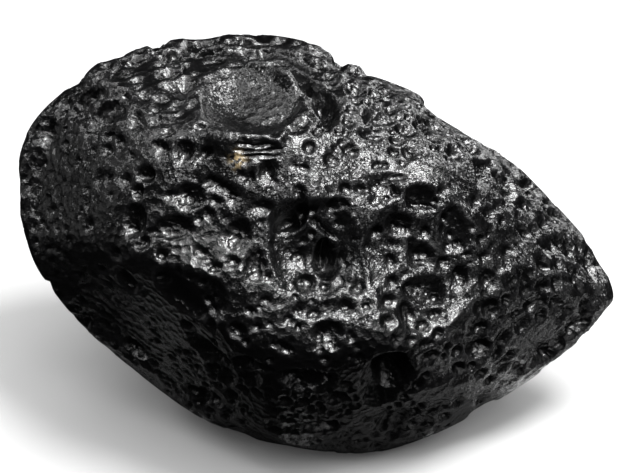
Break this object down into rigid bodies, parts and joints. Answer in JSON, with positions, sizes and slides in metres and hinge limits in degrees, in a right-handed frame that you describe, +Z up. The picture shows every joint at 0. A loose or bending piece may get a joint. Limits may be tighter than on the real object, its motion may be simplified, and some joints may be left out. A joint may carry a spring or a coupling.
{
  "type": "tektite stone",
  "caption": "Black glassy tektite, an ovoid stone with one blunt and one pointed end, covered in rounded hollows and pits, lying on a worn flat face.",
  "frame": {"origin": "centre of the stone's bounding box in X and Y, at the level of the worn flat face it lies on", "axes": "+Z up from the resting face; +X along the stone's length, towards the pointed end; -Y is the side of the broad pitted front, which looks forwards and up"},
  "size_m": [0.066, 0.041, 0.0411],
  "materials": {
    "black_glass": "gloss natural glass"
  },
  "bodies": {
    "root": {"tektite_stone": "black_glass"}
  },
  "joints": []
}
